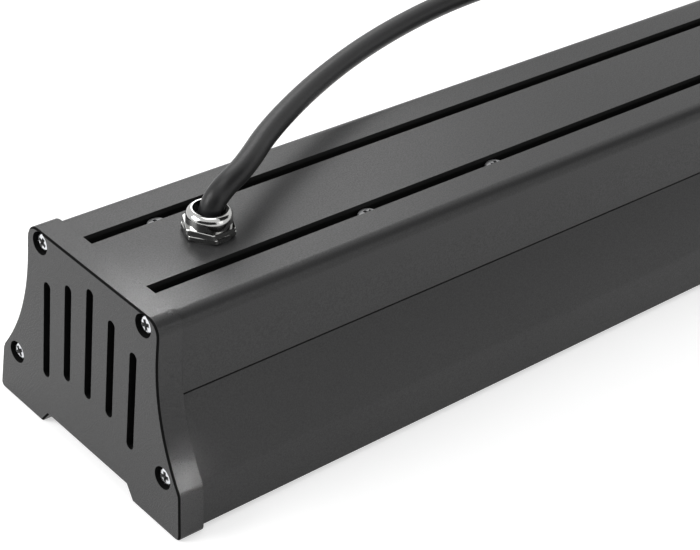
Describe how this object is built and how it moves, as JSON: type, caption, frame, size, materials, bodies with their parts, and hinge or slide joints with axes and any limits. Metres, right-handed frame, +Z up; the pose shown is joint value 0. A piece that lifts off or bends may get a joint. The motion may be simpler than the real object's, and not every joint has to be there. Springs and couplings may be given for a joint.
{
  "type": "high bay light",
  "caption": "Linear high bay light with two T-slots along its top, vented end caps, a cable gland and a coiled supply cable.",
  "frame": {"origin": "bottom centre of the light: under its middle, at the underside of the end caps' feet", "axes": "+X runs along the length away from the cable gland, +Y across it towards the side the cable goes over, +Z up"},
  "size_m": [0.6946, 0.2565, 0.1163],
  "materials": {
    "housing": "black powder coat on aluminium",
    "cap": "black powder coat on a die casting",
    "screw": "bright zinc plated steel",
    "nickel": "nickel plated brass",
    "gasket": "matte",
    "cable": "satin",
    "tie": "matte",
    "live": "brown insulation",
    "neutral": "blue insulation",
    "earth": "green and yellow insulation",
    "terminal": "matte",
    "driver_case": "brushed",
    "bracket": "zinc plated sheet",
    "lead": "silicone insulation",
    "board": "white solder mask",
    "chip": "yellow phosphor",
    "lens": "clear moulded lens"
  },
  "bodies": {
    "root": {"upper_housing": "housing", "lower_housing": "housing", "gland_end_cap": "cap", "far_end_cap": "cap", "gland_end_cap_screws": "screw", "far_end_cap_screws": "screw", "slot_screws": "screw", "gland_gasket": "gasket", "gland_body": "nickel", "gland_nut": "nickel", "gland_locknut": "nickel", "gland_seal": "gasket", "supply_cable": "cable", "cable_inner_end": "cable", "cable_coil": "cable", "coil_tie": "tie", "live_core": "live", "neutral_core": "neutral", "earth_core": "earth", "core_ferrules": "screw", "terminal_block": "terminal", "driver": "driver_case", "driver_bracket": "bracket", "driver_input_leads": "lead", "driver_output_leads": "lead", "led_board_1": "board", "led_board_2": "board", "led_chips_1": "chip", "led_chips_2": "chip", "lens_plate_1": "lens", "lens_plate_2": "lens", "lens_seal_1": "gasket", "lens_seal_2": "gasket", "lens_screws_1": "screw", "lens_screws_2": "screw"}
  },
  "joints": []
}
